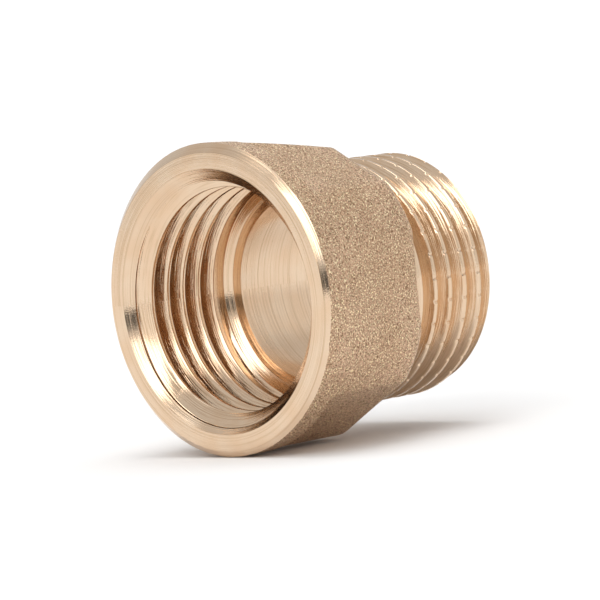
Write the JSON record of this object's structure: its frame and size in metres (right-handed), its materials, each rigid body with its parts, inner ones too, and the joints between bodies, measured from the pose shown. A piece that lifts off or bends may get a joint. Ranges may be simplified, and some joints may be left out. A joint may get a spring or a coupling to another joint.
{
  "type": "pipe thread extension",
  "caption": "Brass pipe-thread extension: a threaded socket with a round collar, a cast hexagon for the wrench, and a threaded spigot, open right through.",
  "frame": {"origin": "middle of the socket's mouth, on the thread's axis, in the plane of the turned face", "axes": "+Y along the thread's axis from the socket's mouth to the spigot's end, +X square to a flat of the hexagon, +Z through a corner of the hexagon"},
  "size_m": [0.0259, 0.0233, 0.0259],
  "materials": {
    "brass": "turned bright on both threads, the socket's face and the bore, with a bead-blasted cast skin on the collar and the hexagon"
  },
  "bodies": {
    "root": {"extension_body": "brass"}
  },
  "joints": []
}
